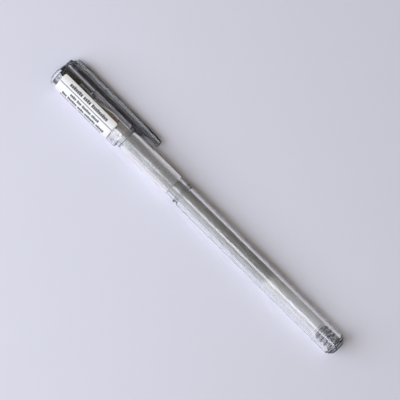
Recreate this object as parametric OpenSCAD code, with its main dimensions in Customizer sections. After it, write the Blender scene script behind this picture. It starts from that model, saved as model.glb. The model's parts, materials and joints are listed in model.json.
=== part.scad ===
// Capped gel pen, lying on its side the way it rests on a table.
// Each piece is drawn standing on its tail: stations run up +Z from the tail end, radii are
// measured from the pen's axis, and the clip points to -Y. lay() then puts it down along X.

/* [Barrel] */
// Outer diameter of the clear rear barrel
barrel_d = 9.44; // [9.3:0.02:9.46]
// Bore of the rear barrel, which holds the tail plug
rear_bore_d = 6.5; // [6.46:0.02:7.2]
// Bore of the front half, which guides the refill
front_bore_d = 6.4; // [6.4:0.02:6.44]
// Station where the rear barrel ends and the shoulder starts
shoulder_at = 82; // [70:0.5:83]
// Diameter of the bead in front of the shoulder
shoulder_bead_d = 9.5; // [9:0.05:9.8]
// Diameter of the clear neck between the bead and the grip
neck_d = 8.3; // [8:0.05:8.8]
// Diameter of the collar under the cap
collar_d = 9; // [8.8:0.02:9.1]
// Diameter of the snap rings on the collar, which grip the cap
snap_ring_d = 9.32; // [9.2:0.02:9.4]
// Station where the collar ends and the nose cone starts
nose_from = 124; // [122:0.5:125]
// Station of the nose cone's tip
nose_tip_at = 133.5; // [132.5:0.1:133.6]
// Outer diameter of the nose cone's tip
nose_tip_d = 4; // [3.6:0.1:4.2]

/* [Grip sleeve] */
// Outer diameter of the soft grip
grip_d = 9; // [8.8:0.05:9.2]
// Diameter of the seat under the grip
grip_seat_d = 7.6; // [7.4:0.05:7.8]
// Station of the grip's rear end
grip_from = 88.1; // [86.5:0.1:92]
// Length of the grip
grip_len = 25; // [22:0.1:25.5]
// Length over which the grip's front end tapers
grip_taper_len = 3; // [1:0.5:6]

/* [Tail plug] */
// Thickness of the plug's head
plug_head = 1.9; // [1.5:0.1:2.5]
// Diameter of the plug's head
plug_head_d = 8.5; // [8:0.05:9]
// Diameter of the flat on the end of the head
plug_flat_d = 6; // [4.8:0.1:6.4]
// Length of the plug inside the barrel
plug_insert = 7.8; // [6:0.1:9]
// Number of ribs that grip the bore
plug_ribs = 4; // [3:1:4]
// Diameter of the breather hole
breather_d = 0.8; // [0.5:0.1:1.2]

/* [Refill] */
// Outer diameter of the ink tube
tube_d = 6; // [5.8:0.05:6]
// Bore of the ink tube
tube_bore_d = 4.9; // [4.6:0.05:5]
// Station of the ink tube's open rear end
tube_from = 11.6; // [10.5:0.1:14]
// Station of the ink tube's front end
tube_to = 119.6; // [119:0.1:119.8]
// Station of the grease follower's rear end
follower_from = 31; // [16:0.5:80]
// Length of the grease follower
follower_len = 7; // [5:0.5:10]

/* [Writing tip] */
// Diameter of the plastic holder's body, which slides in the front bore
holder_d = 6.3; // [6.1:0.05:6.3]
// Diameter of the holder's front end, where its cone meets the nib
holder_front_d = 3.7; // [3.2:0.05:3.7]
// Diameter of the metal nib's shank
nib_d = 2.3; // [2.2:0.02:2.4]
// Diameter of the writing ball
ball_d = 0.5; // [0.5:0.1:0.7]
// Station of the very end of the ball
tip_at = 138.2; // [137.5:0.1:138.4]
// Diameter of the check ball inside the holder
check_ball_d = 1.5; // [1.2:0.1:1.6]

/* [Cap] */
// Station of the cap's mouth
mouth_at = 114.8; // [113:0.1:115.4]
// Length of the cap
cap_len = 35.2; // [35:0.1:37]
// Outer diameter of the cap
cap_d = 11; // [10.9:0.05:11.2]
// Bore of the cap
cap_bore_d = 9.5; // [9.48:0.01:9.6]
// Diameter of the bead round the mouth
mouth_bead_d = 11.3; // [11.2:0.05:11.5]
// Thickness of the cap's closed end
cap_end = 1.6; // [1.4:0.1:2]
// Bore where the smoke insert is pressed in
insert_bore_d = 8.9; // [8.6:0.05:9]
// Depth of the smoke insert below the closed end
insert_len = 13.8; // [13:0.1:14]
// Inner diameter of the tube that seals round the nose
seal_tube_d = 4.9; // [4.8:0.05:5.2]
// Thickness of the seal pad that the ball rests against
pad_len = 2; // [1:0.1:3]

/* [Clip] */
// Length of the clip from its tip to the end of its root
clip_len = 47; // [45:0.5:48]
// Width of the clip's outer flange
clip_w = 4.4; // [4.2:0.1:5]
// Width of the web behind the flange
clip_web_w = 3; // [2.8:0.1:3.6]
// Radius of the clip's crowned outer face, from the pen's axis
clip_reach = 9.2; // [9:0.05:9.6]
// Distance of the clip's inner face from the pen's axis
clip_inner = 5.85; // [5.8:0.05:6.2]
// Radius of the clip's long edges
clip_edge = 0.4; // [0.2:0.05:0.5]
// How far the bump under the clip stands from the pen's axis
bump_reach = 4.75; // [4.7:0.05:5.2]

/* [Label] */
// Length of the label along the cap
label_len = 27.5; // [20:0.1:28]
// Gap between the label and the smoke end plate
label_gap = 2; // [0.4:0.1:2.4]
// Angle that the label wraps round the cap, away from the clip
label_wrap = 163; // [120:1:200]
// Thickness of the label
label_thick = 0.08; // [0.05:0.01:0.1]

/* [Hidden] */
$fn = 96;

// Gaps between pieces
seat_gap = 0.02;     // faces that are pressed or moulded together
running_gap = 0.05;  // faces that slide on each other
ball_gap = 0.01;     // writing ball in its socket

// Radii that several pieces share
barrel_r = barrel_d / 2;
front_bore_r = front_bore_d / 2;
collar_r = collar_d / 2;
nose_tip_r = nose_tip_d / 2;
tube_bore_r = tube_bore_d / 2;
holder_r = holder_d / 2;
holder_front_r = holder_front_d / 2;
nib_r = nib_d / 2;
ball_r = ball_d / 2;
cap_r = cap_d / 2;
cap_bore_r = cap_bore_d / 2;
insert_bore_r = insert_bore_d / 2;
mouth_bead_r = mouth_bead_d / 2;

// Stations that several pieces share
pen_len = mouth_at + cap_len;
grip_to = grip_from + grip_len;
bead_at = shoulder_at + 2;
holder_cone_from = 124.2;
nose_bore_end = nose_tip_at - 2.2;
holder_to = nose_bore_end - 0.1;
plug_to = plug_head + plug_insert;
holder_from = tube_to - 5;
follower_to = follower_from + follower_len;
ball_at = tip_at - ball_r;
nib_from = 125.5;
check_ball_at = 123.2;
cap_inside = pen_len - cap_end;
insert_from = cap_inside - insert_len;
pad_from = tip_at + running_gap;
pad_to = pad_from + pad_len;
clip_tip = pen_len - clip_len;
clip_hinge = pen_len - 3;
bump_at = clip_tip + 9.6;
end_plate_to = pen_len - 0.25;
end_plate_edge = 1.1;
cap_round = 2.2;
label_to = cap_inside - label_gap;

// The bead and the clip's lower edge both touch the table, which sets the clip's dip
edge_orbit = clip_reach - clip_edge;
edge_angle = asin((clip_w / 2 - clip_edge) / edge_orbit);
clip_dip = asin((mouth_bead_r - clip_edge) / edge_orbit) - edge_angle;
clip_side_reach = edge_orbit * cos(clip_dip - edge_angle) + clip_edge;
axis_y = (clip_side_reach - mouth_bead_r) / 2;
axis_z = mouth_bead_r;

clear = [0.86, 0.88, 0.92, 0.35];
smoke = [0.25, 0.22, 0.21, 0.9];

// Points of a circular arc, from one angle to another
function arc(centre, r, from, to, steps = 8) = [
    for (i = [0 : steps])
        let (a = from + (to - from) * i / steps)
            [centre[0] + r * cos(a), centre[1] + r * sin(a)]
];

// Puts a standing piece down in the pen's resting place, its clip dipped to the table
module lay()
    translate([-pen_len / 2, axis_y, axis_z])
        rotate([clip_dip, 0, 0])
            rotate([0, 90, 0])
                children();

// Turns a closed outline of [radius, station] points about the pen's axis
module turned(outline) rotate_extrude() polygon(outline);

// Spreads an outline of [station, distance from the axis] points across the clip's width
module across(outline, width)
    translate([-width / 2, 0, 0])
        rotate([90, 0, 90])
            linear_extrude(width)
                polygon([for (p = outline) [-p[1], p[0]]]);

// A rounded ridge round the pen, as [radius, station] points from rear to front
function ridge(base_r, top_r, at, half) = [
    for (i = [0 : 8])
        [base_r + (top_r - base_r) * sin(i * 180 / 8), at + half * (i / 4 - 1)]
];

module barrel() {
    shoulder_r = 0.8;
    bead_r = 0.5;
    nose_base_r = collar_r - 0.1;
    nose_curve = 1.15;   // over 1, the nose is slightly domed
    end_bevel = 0.3;
    bore_gap = 0.1;      // round the holder and the nib
    snap_rings = [117.3, 121];
    snap_half = 0.5;
    outside = concat(
        [[barrel_r - end_bevel, plug_head], [barrel_r, plug_head + end_bevel]],
        arc([barrel_r - shoulder_r, shoulder_at], shoulder_r, 0, 60, 6),
        [[neck_d / 2, bead_at - bead_r - 0.25]],
        arc([shoulder_bead_d / 2 - bead_r, bead_at], bead_r, -90, 90, 8),
        [[neck_d / 2, bead_at + bead_r + 0.1], [neck_d / 2, grip_from - seat_gap]],
        [[grip_seat_d / 2, grip_from - seat_gap], [grip_seat_d / 2, grip_to + seat_gap]],
        [[collar_r - end_bevel, grip_to + seat_gap], [collar_r, grip_to + end_bevel]],
        [for (at = snap_rings) each ridge(collar_r, snap_ring_d / 2, at, snap_half)],
        [for (i = [0 : 8])
            let (t = i / 8)
                [nose_base_r - (nose_base_r - nose_tip_r) * pow(t, nose_curve),
                 nose_from + (nose_tip_at - nose_from) * t]]
    );
    inside = [
        [nib_r + bore_gap, nose_tip_at],
        [nib_r + bore_gap, nose_bore_end + 0.4],
        [holder_front_r + bore_gap, nose_bore_end],
        [front_bore_r, holder_cone_from],
        [front_bore_r, shoulder_at + 1],
        [rear_bore_d / 2, shoulder_at],
        [rear_bore_d / 2, plug_head]
    ];
    color(clear) lay() turned(concat(outside, inside));
}

module grip_sleeve() {
    edge = 0.35;
    taper = 0.25;
    inner = grip_seat_d / 2 + seat_gap;
    outer = grip_d / 2;
    color([0.72, 0.73, 0.76, 0.8]) lay() turned(concat(
        [[inner, grip_from]],
        arc([outer - edge, grip_from + edge], edge, -90, 0, 5),
        [[outer, grip_to - grip_taper_len]],
        arc([outer - taper - edge, grip_to - edge], edge, 0, 90, 5),
        [[inner, grip_to]]
    ));
}

// Hollow plug: a bevelled head outside the barrel, and ribs that grip the bore
module tail_plug() {
    core_r = 2.75;
    cavity_r = 2.15;
    cavity_from = 1.1;
    rib_r = rear_bore_d / 2 - running_gap;
    rib_w = 0.8;
    rib_bevel = 0.2;
    end_bevel = 0.3;
    head_edge = 0.35;
    head_r = plug_head_d / 2;
    flat_r = plug_flat_d / 2;
    first_rib = plug_head + 0.6;
    last_rib = plug_to - 0.5 - rib_w;
    ribs = [
        for (i = [0 : plug_ribs - 1])
            let (z = first_rib + i * (last_rib - first_rib) / (plug_ribs - 1))
                each [
                    [core_r, z], [rib_r, z + rib_bevel],
                    [rib_r, z + rib_w - rib_bevel], [core_r, z + rib_w]
                ]
    ];
    color(smoke) lay() turned(concat(
        [[breather_d / 2, 0], [flat_r - head_edge, 0], [flat_r, head_edge / 3]],
        arc([head_r - head_edge, plug_head - 1.3 * head_edge], head_edge, -40, 0, 4),
        [[head_r, plug_head - seat_gap], [core_r, plug_head - seat_gap]],
        ribs,
        [[core_r, plug_to - end_bevel], [core_r - end_bevel, plug_to], [cavity_r, plug_to]],
        [[cavity_r, cavity_from], [breather_d / 2, cavity_from - end_bevel]]
    ));
}

module refill_tube()
    color([0.85, 0.86, 0.9, 0.5]) lay() turned([
        [tube_bore_r, tube_from], [tube_d / 2, tube_from],
        [tube_d / 2, tube_to], [tube_bore_r, tube_to]
    ]);

module ink_column()
    color([0.12, 0.12, 0.14]) lay()
        translate([0, 0, follower_to])
            cylinder(r = tube_bore_r - seat_gap, h = holder_from - follower_to - seat_gap);

// The grease ends in a hollow meniscus at the rear and a shallow one against the ink
module grease_follower() {
    r = tube_bore_r - running_gap;
    rear_dip = 0.8;
    color([0.68, 0.68, 0.7, 0.9]) lay() turned(concat(
        [for (i = [0 : 8]) [r * i / 8, follower_from + rear_dip * (1 - pow(i / 8, 2))]],
        [[r, follower_to - seat_gap], [0, follower_to - seat_gap]]
    ));
}

// Spigot in the ink tube, a body as wide as the tube, and a cone that seats in the nose
module tip_holder() {
    spigot_r = tube_bore_r - seat_gap;
    spigot_bevel = 0.3;
    channel_r = 0.5;
    chamber_r = check_ball_d / 2 + 0.15;
    chamber_half = check_ball_d / 2 + 0.5;
    chamber_taper = 0.3;
    socket_r = nib_r + ball_gap;
    front_edge = 0.3;
    color([0.26, 0.19, 0.15]) lay() turned([
        [channel_r, holder_from],
        [spigot_r - spigot_bevel, holder_from], [spigot_r, holder_from + spigot_bevel],
        [spigot_r, tube_to + seat_gap], [holder_r, tube_to + seat_gap],
        [holder_r, holder_cone_from], [holder_front_r, holder_to - front_edge],
        [holder_front_r - front_edge, holder_to], [socket_r, holder_to],
        [socket_r, nib_from], [channel_r, nib_from],
        [channel_r, check_ball_at + chamber_half + chamber_taper],
        [chamber_r, check_ball_at + chamber_half],
        [chamber_r, check_ball_at - chamber_half],
        [channel_r, check_ball_at - chamber_half - chamber_taper]
    ]);
}

module check_ball()
    color("silver") lay() translate([0, 0, check_ball_at]) sphere(d = check_ball_d);

// Shank in the holder and a cone whose rim keeps the writing ball in
module nib() {
    cone_from = tip_at - 3.2;
    rim_at = ball_at + 0.44 * ball_r;
    rim_r = ball_r + 0.05;
    throat_r = rim_r + 0.06;
    shank_bevel = 0.2;
    feed_r = 0.18;
    bore_r = 0.6;
    color([0.78, 0.79, 0.8]) lay() difference() {
        turned([
            [feed_r, rim_at], [rim_r, rim_at], [throat_r, rim_at - 0.5],
            [nib_r, cone_from], [nib_r, nib_from + shank_bevel],
            [nib_r - shank_bevel, nib_from + seat_gap],
            [bore_r, nib_from + seat_gap], [bore_r, cone_from + 0.6], [feed_r, cone_from + 1.4]
        ]);
        translate([0, 0, ball_at]) sphere(r = ball_r + ball_gap, $fn = 48);
    }
}

module nib_ball()
    color([0.45, 0.46, 0.48]) lay() translate([0, 0, ball_at]) sphere(r = ball_r, $fn = 48);

module cap_shell() {
    bead_half = 0.8;
    mouth_bevel = 0.25;
    color(clear) lay() difference() {
        turned(concat(
            [[cap_bore_r + mouth_bevel, mouth_at], [cap_r - mouth_bevel, mouth_at]],
            ridge(cap_r, mouth_bead_r, mouth_at + mouth_bevel + bead_half, bead_half),
            arc([cap_r - cap_round, pen_len - cap_round], cap_round, 0, 90, 8),
            [[0, pen_len], [0, cap_inside], [insert_bore_r, cap_inside]],
            [[insert_bore_r, insert_from], [cap_bore_r, insert_from - 0.3]],
            [[cap_bore_r, mouth_at + mouth_bevel]]
        ));
        // The end plate of the insert fills the clip's side of the closed end
        translate([-cap_r - 1, -cap_r - 1, cap_inside])
            cube([cap_d + 2, cap_r + 1 + end_plate_edge + seat_gap, cap_end + 1]);
    }
}

// Disc of the end plate, cut straight just past the pen's axis, its edge rounded like the cap's
module end_disc(from, r) {
    round_from = end_plate_to - cap_round;
    intersection() {
        turned(concat(
            [[0, round_from - 1], [r, round_from - 1]],
            arc([r - cap_round, round_from], cap_round, 0, 90, 8),
            [[0, end_plate_to]]
        ));
        translate([-r, -r, from]) cube([2 * r, r + end_plate_edge, cap_end]);
    }
}

// Root that carries the clip: a waist drawn in from the disc to the clip, with a bevelled corner
module clip_root() {
    from = clip_hinge + seat_gap;
    corner = 2.6;
    waist_y = 3.6;
    waist_x = sqrt(pow(cap_r - cap_round / 2, 2) - pow(waist_y, 2));
    intersection() {
        translate([0, 0, from]) linear_extrude(end_plate_to - from) union() {
            polygon(clip_section());
            polygon([
                [-waist_x, -waist_y], [-clip_w / 2, -clip_inner - 0.6],
                [clip_w / 2, -clip_inner - 0.6], [waist_x, -waist_y]
            ]);
        }
        across([
            [cap_inside + seat_gap, 1],
            [cap_inside + seat_gap, clip_inner], [from, clip_inner],
            [from, clip_reach], [end_plate_to - corner, clip_reach],
            [end_plate_to, clip_reach - corner - 0.6], [end_plate_to, 1]
        ], cap_d);
    }
}

module cap_insert() {
    bore_r = seal_tube_d / 2;
    lip = 1.6;
    wall = 0.85;
    plug_r = insert_bore_r - seat_gap;
    color(smoke) lay() union() {
        turned([
            [bore_r, insert_from - lip], [bore_r + wall - 0.2, insert_from - lip],
            [bore_r + wall, insert_from - lip + 0.3], [bore_r + wall, insert_from],
            [plug_r, insert_from], [plug_r, cap_inside - seat_gap],
            [0, cap_inside - seat_gap], [0, pad_to + seat_gap], [bore_r, pad_to + seat_gap]
        ]);
        end_disc(cap_inside - cap_end / 2, plug_r);
        end_disc(cap_inside + seat_gap, cap_r);
        clip_root();
    }
}

module seal_pad()
    color([0.8, 0.8, 0.78]) lay() translate([0, 0, pad_from])
        cylinder(r = seal_tube_d / 2 - seat_gap, h = pad_len);

module cap_label() {
    inner = cap_r + seat_gap;
    color([0.94, 0.94, 0.93]) lay() rotate([0, 0, 90 - label_wrap / 2])
        rotate_extrude(angle = label_wrap)
            translate([inner, label_to - label_len]) square([label_thick, label_len]);
}

// Cross-section of the clip: a crowned flange with rounded edges, bevelled down to a narrower web
function clip_section() =
    let (
        flange_to = clip_reach - 0.65,
        web_from = flange_to - 1.1,
        edge_x = edge_orbit * sin(edge_angle),
        edge_y = -edge_orbit * cos(edge_angle)
    )
    concat(
        arc([0, 0], clip_reach, 270 - edge_angle, 270 + edge_angle, 10),
        arc([edge_x, edge_y], clip_edge, 270 + edge_angle, 360, 6),
        [[clip_w / 2, -flange_to], [clip_web_w / 2, -web_from], [clip_web_w / 2, 0]],
        [[-clip_web_w / 2, 0], [-clip_web_w / 2, -web_from], [-clip_w / 2, -flange_to]],
        arc([-edge_x, edge_y], clip_edge, 180, 270 - edge_angle, 6)
    );

// Side view of the clip: a round bump, then a tongue that thins towards the tip
function clip_side() =
    let (
        bump_r = 2.4,
        bump_half = acos((bump_reach + bump_r - clip_inner) / bump_r),
        bump_front = bump_at - bump_r * sin(bump_half),
        tip_inner = 7.2,
        tip_outer = 8.7,
        tip_r = 0.5,
        thin_from = clip_tip + 8,
        thin_to = clip_tip + tip_r
    )
    concat(
        [[clip_hinge, clip_inner]],
        arc([bump_at, bump_reach + bump_r], bump_r, bump_half - 90, -bump_half - 90, 10),
        [for (i = [1 : 6])
            let (t = i / 6)
                [bump_front + (thin_to - bump_front) * t,
                 clip_inner + (tip_inner - clip_inner) * t * (2 - t)]],
        arc([thin_to, tip_inner + tip_r], tip_r, 255, 180, 4),
        arc([thin_to, tip_outer - tip_r], tip_r, 180, 105, 4),
        [for (i = [0 : 6])
            let (t = 1 - i / 6)
                [thin_from + (thin_to - thin_from) * t,
                 clip_reach - (clip_reach - tip_outer) * t * t]],
        [[clip_hinge, clip_reach]]
    );

// Clip as its cross-section, its side view and its plan, which narrows towards the tip, allow
module clip_arm() {
    tip_half = clip_w / 2 - 0.3;
    corner = 0.7;
    narrow_from = clip_tip + 16;
    color(smoke) lay() intersection() {
        across(clip_side(), clip_w);
        translate([0, 0, clip_tip]) linear_extrude(clip_hinge - clip_tip) polygon(clip_section());
        rotate([90, 0, 0]) linear_extrude(clip_reach) polygon([
            [-clip_w / 2, clip_hinge], [clip_w / 2, clip_hinge],
            [clip_w / 2, narrow_from], [tip_half, clip_tip + corner],
            [tip_half - corner, clip_tip], [corner - tip_half, clip_tip],
            [-tip_half, clip_tip + corner], [-clip_w / 2, narrow_from]
        ]);
    }
}

barrel();
grip_sleeve();
tail_plug();
refill_tube();
ink_column();
grease_follower();
tip_holder();
check_ball();
nib();
nib_ball();
cap_shell();
cap_insert();
seal_pad();
cap_label();
clip_arm();
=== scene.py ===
"""Looks for the capped gel pen: clear barrel and cap, smoke clip, soft grip, used refill."""
import json
import math

import bpy
from mathutils import Matrix, Vector


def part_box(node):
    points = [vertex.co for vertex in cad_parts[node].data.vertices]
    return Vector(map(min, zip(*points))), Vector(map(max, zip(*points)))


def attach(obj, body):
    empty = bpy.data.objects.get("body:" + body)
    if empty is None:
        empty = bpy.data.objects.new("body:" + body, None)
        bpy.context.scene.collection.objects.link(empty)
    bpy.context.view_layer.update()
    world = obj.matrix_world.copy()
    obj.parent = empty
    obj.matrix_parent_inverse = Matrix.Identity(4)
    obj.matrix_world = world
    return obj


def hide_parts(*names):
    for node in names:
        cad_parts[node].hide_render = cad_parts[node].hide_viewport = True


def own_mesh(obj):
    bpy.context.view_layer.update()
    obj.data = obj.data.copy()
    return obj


MM = 0.001
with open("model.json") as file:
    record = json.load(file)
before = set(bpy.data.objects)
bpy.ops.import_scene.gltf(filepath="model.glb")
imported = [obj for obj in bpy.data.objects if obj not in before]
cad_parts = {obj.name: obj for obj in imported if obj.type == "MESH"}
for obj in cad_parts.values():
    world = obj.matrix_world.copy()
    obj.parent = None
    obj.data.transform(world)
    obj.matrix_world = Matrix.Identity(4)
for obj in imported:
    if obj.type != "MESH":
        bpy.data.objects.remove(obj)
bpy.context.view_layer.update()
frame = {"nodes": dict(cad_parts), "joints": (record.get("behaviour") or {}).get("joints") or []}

# ---------------------------------------------------------------- where things are

tube_low, tube_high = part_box("refill_tube")
AXIS_Y = (tube_low.y + tube_high.y) / 2
AXIS_Z = (tube_low.z + tube_high.z) / 2
flex = next(joint for joint in frame["joints"] if joint["name"] == "clip_flex")
CLIP_DIP = math.atan2(-flex["axis"][1], flex["axis"][2])
LABEL_MIDDLE = math.pi / 2 - CLIP_DIP  # from straight up, towards +Y, away from the clip


def on_pen(x, radius, angle):
    """A point at x along the pen, angle turned from straight up towards +Y."""
    return Vector((x, AXIS_Y + radius * math.sin(angle), AXIS_Z + radius * math.cos(angle)))


# ---------------------------------------------------------------- camera, light, floor

PHOTO_WIDTH = 152.55 * MM  # what the picture takes in at the pen's height
PHOTO_CENTRE = (2.088 * MM, -1.423 * MM)
PHOTO_TURN = math.radians(-135.28)  # the pen runs from the upper left to the lower right
LENS = 100.0
SENSOR = 36.0
NEAREST = 0.01
FARTHEST = 10


def make_camera():
    data = bpy.data.cameras.new("camera")
    data.lens = LENS
    data.sensor_width = SENSOR
    camera = bpy.data.objects.new("camera", data)
    bpy.context.scene.collection.objects.link(camera)
    reach = PHOTO_WIDTH * LENS / SENSOR
    camera.location = (*PHOTO_CENTRE, AXIS_Z + reach)
    camera.rotation_euler = (0, 0, PHOTO_TURN)
    data.clip_start = NEAREST
    data.clip_end = FARTHEST
    bpy.context.scene.camera = camera


# Each light: direction from the pen, distance, size along and across the pen, radiance, colour
WINDOW = ((0.62, 0.63, 0.65), 1.0, (1.10, 0.85), 2.85, (0.845, 0.885, 1.02))
SKYLIGHT = ((0.02, 0.19, 0.79), 0.81, (0.50, 0.29), 3.6, (0.89, 0.925, 1.02))
GLEAM = ((0.0, 0.90, 0.35), 0.8, (0.9, 0.4), 1.2, (0.96, 0.97, 1.0))  # seen only in gloss
ROOM_COLOUR = (0.62, 0.53, 0.35)
ROOM_STRENGTH = 0.34
WATTS_FOR_RADIANCE = 4  # for each square metre of an area light


def area_light(name, towards, distance, size, radiance, colour):
    """A window of even brightness that faces the pen, its first side level and along the pen."""
    data = bpy.data.lights.new(name, "AREA")
    data.shape = "RECTANGLE"
    data.size, data.size_y = size
    data.energy = WATTS_FOR_RADIANCE * radiance * size[0] * size[1]
    data.color = colour
    light = bpy.data.objects.new(name, data)
    bpy.context.scene.collection.objects.link(light)
    back = Vector(towards).normalized()
    side = (Vector((1, 0, 0)) - back * back.x).normalized()
    turn = Matrix((side, back.cross(side), back)).transposed()
    light.location = back * distance
    light.rotation_euler = turn.to_euler()
    return light


def make_light():
    area_light("window", *WINDOW)
    area_light("skylight", *SKYLIGHT)
    area_light("gleam", *GLEAM).visible_diffuse = False
    world = bpy.data.worlds.new("room")
    world.use_nodes = True
    back = world.node_tree.nodes["Background"]
    back.inputs["Color"].default_value = (*ROOM_COLOUR, 1)
    back.inputs["Strength"].default_value = ROOM_STRENGTH
    bpy.context.scene.world = world


# ---------------------------------------------------------------- materials

class Nodes:
    """Short calls for building one material's node tree."""

    def __init__(self, name):
        self.material = bpy.data.materials.new(name)
        self.material.use_nodes = True
        self.tree = self.material.node_tree
        self.shader = self.tree.nodes["Principled BSDF"]
        self.output = self.tree.nodes["Material Output"]

    def add(self, kind, **inputs):
        node = self.tree.nodes.new(kind)
        for key, value in inputs.items():
            self.put(node, key.replace("_", " "), value)
        return node

    def put(self, node, key, value):
        if isinstance(value, bpy.types.NodeSocket):
            self.tree.links.new(value, node.inputs[key])
        else:
            node.inputs[key].default_value = value

    def set(self, **inputs):
        for key, value in inputs.items():
            self.put(self.shader, key.replace("_", " "), value)

    def place(self, scale):
        """Object coordinates, scaled along each axis, so that marks follow the pen."""
        where = self.add("ShaderNodeTexCoord").outputs["Object"]
        mapping = self.add("ShaderNodeMapping", Vector=where)
        mapping.inputs["Scale"].default_value = scale
        return mapping.outputs["Vector"]

    def noise(self, scale, detail, stretch=(1, 1, 1)):
        node = self.add("ShaderNodeTexNoise", Vector=self.place(stretch))
        node.inputs["Scale"].default_value = scale
        node.inputs["Detail"].default_value = detail
        return node.outputs["Fac"]

    def ramp(self, factor, low, high):
        """Carries noise, which lies mostly between 0.3 and 0.7, to a value from low to high."""
        node = self.add("ShaderNodeMapRange", Value=factor)
        node.inputs["From Min"].default_value = 0.3
        node.inputs["From Max"].default_value = 0.7
        node.inputs["To Min"].default_value = low
        node.inputs["To Max"].default_value = high
        return node.outputs["Result"]

    def colours(self, factor, first, second):
        """Mixes two colours; the node's colour sockets come after those for numbers."""
        node = self.tree.nodes.new("ShaderNodeMix")
        node.data_type = "RGBA"
        self.tree.links.new(factor, node.inputs[0])
        node.inputs[6].default_value = (*first, 1)
        node.inputs[7].default_value = (*second, 1)
        return node.outputs[2]

    def bump(self, height, distance, strength):
        node = self.add("ShaderNodeBump", Height=height)
        node.inputs["Distance"].default_value = distance
        node.inputs["Strength"].default_value = strength
        self.set(Normal=node.outputs["Normal"])

    def absorb(self, colour, density):
        """Darkens light with the length of its path inside; the density is for each metre."""
        volume = self.add("ShaderNodeVolumeAbsorption")
        volume.inputs["Color"].default_value = (*colour, 1)
        volume.inputs["Density"].default_value = density
        self.tree.links.new(volume.outputs["Volume"], self.output.inputs["Volume"])


def clear_plastic(name, tint):
    """Polished styrene with faint handling marks along the pen."""
    m = Nodes(name)
    smudges = m.noise(260, 4, (0.4, 1, 1))
    m.set(Base_Color=(*tint, 1), Transmission_Weight=1.0, IOR=1.52)
    m.set(Roughness=m.ramp(smudges, 0.02, 0.07))
    m.bump(m.noise(900, 2, (0.05, 1, 1)), 0.004 * MM, 0.35)
    return m.material


def smoke_plastic():
    m = Nodes("smoke_plastic")
    m.set(Base_Color=(0.96, 0.965, 0.975, 1), Transmission_Weight=1.0, IOR=1.52)
    m.set(Roughness=m.ramp(m.noise(300, 4, (0.3, 1, 1)), 0.06, 0.13))
    m.bump(m.noise(1500, 2, (0.04, 1, 1)), 0.001 * MM, 0.3)
    m.absorb((0.26, 0.285, 0.325), 400)
    return m.material


def grip_rubber():
    m = Nodes("grip_rubber")
    m.set(Base_Color=(0.90, 0.90, 0.91, 1), Transmission_Weight=0.80, IOR=1.48)
    m.set(Roughness=m.ramp(m.noise(500, 4), 0.14, 0.20))
    m.bump(m.noise(2600, 2), 0.006 * MM, 0.4)
    return m.material


def tube_plastic():
    m = Nodes("tube_plastic")
    haze = m.noise(420, 4, (0.15, 1, 1))
    m.set(Base_Color=m.colours(haze, (0.92, 0.925, 0.94), (0.96, 0.965, 0.975)))
    m.set(Transmission_Weight=0.72, IOR=1.49)
    m.set(Roughness=m.ramp(haze, 0.36, 0.46))
    m.bump(m.noise(1400, 2, (0.03, 1, 1)), 0.006 * MM, 0.5)
    return m.material


def ink():
    m = Nodes("ink")
    cloud = m.noise(500, 4)
    m.set(Base_Color=m.colours(cloud, (0.10, 0.10, 0.102), (0.13, 0.13, 0.133)))
    m.set(Roughness=m.ramp(cloud, 0.18, 0.3))
    m.bump(cloud, 0.01 * MM, 0.3)
    return m.material


def grease():
    m = Nodes("grease")
    swirl = m.noise(900, 5, (0.6, 1, 1))
    m.set(Base_Color=m.colours(swirl, (0.90, 0.90, 0.91), (0.96, 0.96, 0.97)))
    m.set(Subsurface_Weight=1.0, Subsurface_Scale=3 * MM, Subsurface_Radius=(1, 1, 1))
    m.set(IOR=1.46, Roughness=m.ramp(swirl, 0.2, 0.4))
    m.bump(swirl, 0.02 * MM, 0.4)
    return m.material


def holder_plastic():
    m = Nodes("holder_plastic")
    mottle = m.noise(700, 3)
    m.set(Base_Color=m.colours(mottle, (0.24, 0.15, 0.115), (0.32, 0.205, 0.16)))
    m.set(Roughness=m.ramp(mottle, 0.28, 0.42))
    m.bump(m.noise(2600, 2), 0.005 * MM, 0.4)
    return m.material


def turned_metal(name, colour, ring_scale):
    """Bright metal with the fine rings that turning leaves round the pen's axis."""
    m = Nodes(name)
    rings = m.noise(ring_scale, 2, (1, 0.02, 0.02))
    darker = tuple(0.85 * c for c in colour)
    m.set(Base_Color=m.colours(rings, darker, colour))
    m.set(Metallic=1.0, Roughness=m.ramp(rings, 0.16, 0.34))
    m.bump(rings, 0.004 * MM, 0.6)
    return m.material


def pad_rubber():
    m = Nodes("pad_rubber")
    grain = m.noise(2400, 3)
    m.set(Base_Color=m.colours(grain, (0.62, 0.62, 0.60), (0.74, 0.74, 0.72)))
    m.set(Roughness=m.ramp(grain, 0.6, 0.8))
    m.bump(grain, 0.02 * MM, 0.5)
    return m.material


def label_film():
    m = Nodes("label_film")
    fibre = m.noise(2200, 4, (0.5, 1, 1))
    m.set(Base_Color=m.colours(fibre, (0.81, 0.81, 0.795), (0.86, 0.86, 0.85)))
    m.set(Roughness=m.ramp(fibre, 0.38, 0.52))
    m.bump(fibre, 0.006 * MM, 0.4)
    return m.material


def print_ink():
    m = Nodes("print_ink")
    patch = m.noise(3800, 3)
    m.set(Base_Color=m.colours(patch, (0.03, 0.03, 0.03), (0.07, 0.07, 0.07)))
    m.set(Roughness=m.ramp(patch, 0.45, 0.6))
    return m.material


def floor_paint():
    m = Nodes("floor_paint")
    grain = m.noise(90, 4)
    m.set(Base_Color=m.colours(grain, (0.695, 0.695, 0.775), (0.705, 0.705, 0.785)))
    m.set(Roughness=m.ramp(grain, 0.55, 0.65))
    return m.material


def paint(node, material):
    for part_slot in frame["nodes"][node].material_slots:
        part_slot.material = material


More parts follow.
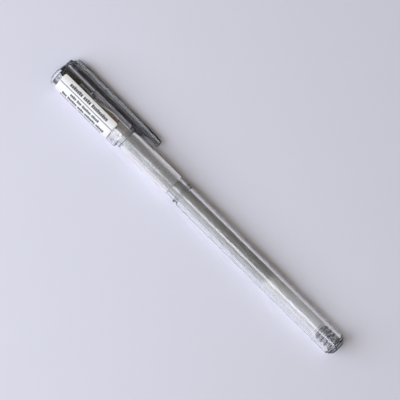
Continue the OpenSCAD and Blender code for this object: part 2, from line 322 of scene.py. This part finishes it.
def paint_cad():
    smoke = smoke_plastic()
    paint("barrel", clear_plastic("clear_plastic", (0.985, 0.99, 0.995)))
    paint("cap_shell", clear_plastic("cap_plastic", (0.97, 0.97, 0.98)))
    for node in ("tail_plug", "cap_insert", "clip_arm"):
        paint(node, smoke)
    paint("refill_tube", tube_plastic())
    paint("tip_holder", holder_plastic())
    paint("nib", turned_metal("nib_metal", (0.74, 0.74, 0.75), 9000))
    paint("nib_ball", turned_metal("carbide", (0.42, 0.42, 0.44), 20000))
    paint("check_ball", turned_metal("steel_ball", (0.70, 0.70, 0.72), 9000))
    paint("seal_pad", pad_rubber())


# ---------------------------------------------------------------- pieces made here

def new_piece(name, points, faces, material, body):
    """A piece drawn here, which one of the frame's bodies carries."""
    mesh = bpy.data.meshes.new(name)
    mesh.from_pydata(points, [], faces)
    mesh.validate()
    mesh.shade_smooth()
    mesh.materials.append(material)
    piece = bpy.data.objects.new(name, mesh)
    bpy.context.scene.collection.objects.link(piece)
    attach(piece, body)
    return piece


def turned_mesh(outline, around=96):
    """A closed form turned about the pen's axis from (x, radius) points; ends lie on the axis."""
    points = [on_pen(outline[0][0], 0, 0)]
    for x, radius in outline[1:-1]:
        points += [on_pen(x, radius, 2 * math.pi * k / around) for k in range(around)]
    points.append(on_pen(outline[-1][0], 0, 0))
    rings = len(outline) - 2
    last = len(points) - 1
    faces = []
    for k in range(around):
        after = (k + 1) % around
        faces.append((0, 1 + k, 1 + after))
        for r in range(rings - 1):
            a, b = 1 + r * around, 1 + (r + 1) * around
            faces.append((a + k, b + k, b + after, a + after))
        end = 1 + (rings - 1) * around
        faces.append((last, end + after, end + k))
    return points, faces


WETTING = 0.03 * MM  # liquids are drawn wider than their CAD solids, so that no air film shows
MENISCUS_DEPTH = 1.1 * MM
MENISCUS_CURVE = 2.4  # above 2, the hollow steepens towards the wall
MENISCUS_STEPS = 10


def make_ink():
    low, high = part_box("ink_column")
    radius = (high.z - low.z) / 2 + WETTING
    points, faces = turned_mesh([(low.x, 0), (low.x, radius), (high.x, radius), (high.x, 0)])
    piece = new_piece("ink", points, faces, ink(), "refill")
    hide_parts("ink_column")
    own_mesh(piece)


def make_grease():
    """Grease with a hollow rear end, a little clear of the ink at its front."""
    low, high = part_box("grease_follower")
    radius = (high.z - low.z) / 2 + 2 * WETTING
    front = high.x - WETTING
    shares = [i / MENISCUS_STEPS for i in range(MENISCUS_STEPS + 1)]
    rear = [(low.x + MENISCUS_DEPTH * (1 - s ** MENISCUS_CURVE), radius * s) for s in shares]
    points, faces = turned_mesh(rear + [(front, radius), (front, 0)])
    piece = new_piece("grease", points, faces, grease(), "follower")
    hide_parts("grease_follower")


GRIP_WALL = 0.75 * MM  # with the bond, which reaches a little way into the barrel's seat
GRIP_EDGE = 0.35 * MM
GRIP_TAPER = 3.0 * MM
GRIP_TAPER_DEPTH = 0.25 * MM
GRIP_STEPS = 24


def ring_mesh(outline, around=128):
    """A closed ring turned about the pen's axis from a closed loop of (x, radius) points."""
    points = []
    for x, radius in outline:
        points += [on_pen(x, radius, 2 * math.pi * k / around) for k in range(around)]
    count = len(outline)
    faces = []
    for r in range(count):
        a, b = r * around, (r + 1) % count * around
        for k in range(around):
            after = (k + 1) % around
            faces.append((a + k, a + after, b + after, b + k))
    return points, faces


def grip_edge(end, inwards, radius):
    """A rounded edge from the outside to the end face; inwards is 1 at the rear, -1 in front."""
    turns = [math.radians(15 * i) for i in range(7)]
    return [(end + inwards * GRIP_EDGE * (1 - math.sin(turn)),
             radius - GRIP_EDGE * (1 - math.cos(turn)))
            for turn in turns]


def make_grip():
    """A sleeve with rounded ends and a slight taper at the front."""
    low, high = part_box("grip_sleeve")
    outer = (high.z - low.z) / 2
    inner = outer - GRIP_WALL
    rear = grip_edge(low.x, 1, outer)[::-1]
    front = grip_edge(high.x, -1, outer - GRIP_TAPER_DEPTH)
    start = rear[-1][0]
    run = high.x - GRIP_TAPER - start
    straight = [(start + run * i / GRIP_STEPS, outer) for i in range(1, GRIP_STEPS + 1)]
    outline = [(low.x, inner)] + rear + straight + front + [(high.x, inner)]
    points, faces = ring_mesh(outline)
    piece = new_piece("grip", points, faces, grip_rubber(), "barrel")
    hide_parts("grip_sleeve")


LABEL_CORNER = 0.5 * MM
LABEL_WRAP = math.radians(163)
LABEL_THICK = 0.07 * MM
LABEL_ACROSS = 64  # strips round the cap
LABEL_ALONG = 48  # strips along it
PRINT_RAISE = 0.015 * MM


def make_label():
    """A thin sheet with rounded corners, curved round the cap; returns its radius and ends."""
    low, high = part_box("cap_label")
    outer = high.z - AXIS_Z - PRINT_RAISE
    inner = outer - LABEL_THICK
    half_turn = LABEL_WRAP / 2
    across = LABEL_ACROSS
    along = LABEL_ALONG
    length = high.x - low.x
    middle = (low.x + high.x) / 2
    corner_turn = LABEL_CORNER / outer

    def inset(share):
        """How far the label's end is drawn in near its long edges, share from -1 to 1."""
        past = abs(share) * half_turn - (half_turn - corner_turn)
        if past <= 0:
            return 0.0
        return LABEL_CORNER * (1 - math.sqrt(max(0.0, 1 - (past / corner_turn) ** 2)))

    shares = [math.sin(math.pi / 2 * (2 * i / across - 1)) for i in range(across + 1)]
    points = []
    for radius in (inner, outer):
        for share in shares:
            reach = length / 2 - inset(share)
            for j in range(along + 1):
                x = middle + reach * (2 * j / along - 1)
                points.append(on_pen(x, radius, LABEL_MIDDLE + share * half_turn))
    row = along + 1
    layer = row * (across + 1)
    faces = []
    for i in range(across):
        for j in range(along):
            a = i * row + j
            faces.append((a, a + row, a + row + 1, a + 1))
            b = a + layer
            faces.append((b, b + 1, b + row + 1, b + row))
    edge = [i * row for i in range(across + 1)]
    edge += [across * row + j for j in range(1, along + 1)]
    edge += [i * row + along for i in range(across - 1, -1, -1)]
    edge += [j for j in range(along - 1, 0, -1)]
    for a, b in zip(edge, edge[1:] + edge[:1]):
        faces.append((a, a + layer, b + layer, b))
    piece = new_piece("label", points, faces, label_film(), "cap")
    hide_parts("cap_label")
    return outer, low.x, high.x


def block(points, faces, x_from, x_to, turn_from, turn_to, radius):
    """Adds one curved rectangle of print."""
    start = len(points)
    for i in range(BLOCK_STEPS + 1):
        turn = turn_from + (turn_to - turn_from) * i / BLOCK_STEPS
        points.append(on_pen(x_from, radius, turn))
        points.append(on_pen(x_to, radius, turn))
    for i in range(BLOCK_STEPS):
        a = start + 2 * i
        faces.append((a, a + 2, a + 3, a + 1))


# Generic print. Each row: its middle in degrees from straight up, then in millimetres its height,
# its start from the label's end beside the end plate and its length, then the blocks in each word
PRINT_ROWS = [
    (1.9, 1.35, 4.2, 19.4, (7, 4, 9)),
    (33, 1.2, 6.7, 14.8, (4, 3, 6, 5)),
    (54, 1.4, 3.5, 21.7, (3, 6, 4, 7, 5)),
    (76, 1.1, 2.8, 21.7, (6, 4, 8, 6)),
    (98, 1.1, 2.8, 12.0, (5, 8)),
]
BLOCK_SHARE = 0.82  # of the pitch between blocks
BLOCK_STEPS = 3  # flats round the curve of one block
LOW_BLOCK = 0.3  # what a low block lacks of its half height
WORD_GAP = 0.7  # in pitches
RULE_TURN = math.radians(18.4)
RULE_HEIGHT = 0.28 * MM
RULE_MARGIN = 0.3 * MM


def make_print(label_radius, x_low, x_high):
    """Rows of plain blocks, two in three of them low, and a rule under the first row."""
    radius = label_radius + PRINT_RAISE
    points, faces = [], []
    for middle, height, start, length, words in PRINT_ROWS:
        turn = math.radians(middle)
        half = height * MM / radius / 2
        pitch = length * MM / (sum(words) + WORD_GAP * (len(words) - 1))
        x = x_high - start * MM
        for word in words:
            for k in range(word):
                lack = LOW_BLOCK if (7 * k + word) % 3 else 0.0
                block(points, faces, x, x - BLOCK_SHARE * pitch,
                      turn - half * (1 - lack), turn + half, radius)
                x -= pitch
            x -= WORD_GAP * pitch
    half_rule = RULE_HEIGHT / radius / 2
    block(points, faces, x_high - RULE_MARGIN, x_low + RULE_MARGIN,
          RULE_TURN - half_rule, RULE_TURN + half_rule, radius)
    new_piece("label_print", points, faces, print_ink(), "cap")


BEAD_MIDDLE = 1.05 * MM  # from the cap's mouth
FLOOR_REACH = 1.5
FLOOR_GAP = 0.02 * MM


def make_floor():
    """A plain floor, tipped so that the bead at the cap's mouth and the barrel's tail rest on it."""
    barrel_low, barrel_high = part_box("barrel")
    bead_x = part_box("cap_shell")[0].x + BEAD_MIDDLE
    tail_gap = AXIS_Z - (barrel_high.z - barrel_low.z) / 2
    fall = tail_gap / (bead_x - barrel_low.x)
    corners = []
    for side_x, side_y in ((-1, -1), (1, -1), (1, 1), (-1, 1)):
        x = side_x * FLOOR_REACH
        corners.append((x, side_y * FLOOR_REACH, (bead_x - x) * fall - FLOOR_GAP))
    mesh = bpy.data.meshes.new("floor")
    mesh.from_pydata(corners, [], [(0, 1, 2, 3)])
    mesh.materials.append(floor_paint())
    floor = bpy.data.objects.new("floor", mesh)
    bpy.context.scene.collection.objects.link(floor)


def set_render():
    scene = bpy.context.scene
    scene.view_settings.view_transform = "Standard"
    scene.cycles.use_denoising = True
    scene.cycles.max_bounces = 24
    scene.cycles.transmission_bounces = 20
    scene.cycles.transparent_max_bounces = 24
    scene.cycles.sample_clamp_indirect = 6
    scene.cycles.blur_glossy = 0.0  # keeps the light that clear pieces focus on the floor


make_camera()
make_light()
paint_cad()
make_ink()
make_grease()
make_grip()
make_print(*make_label())
make_floor()
set_render()
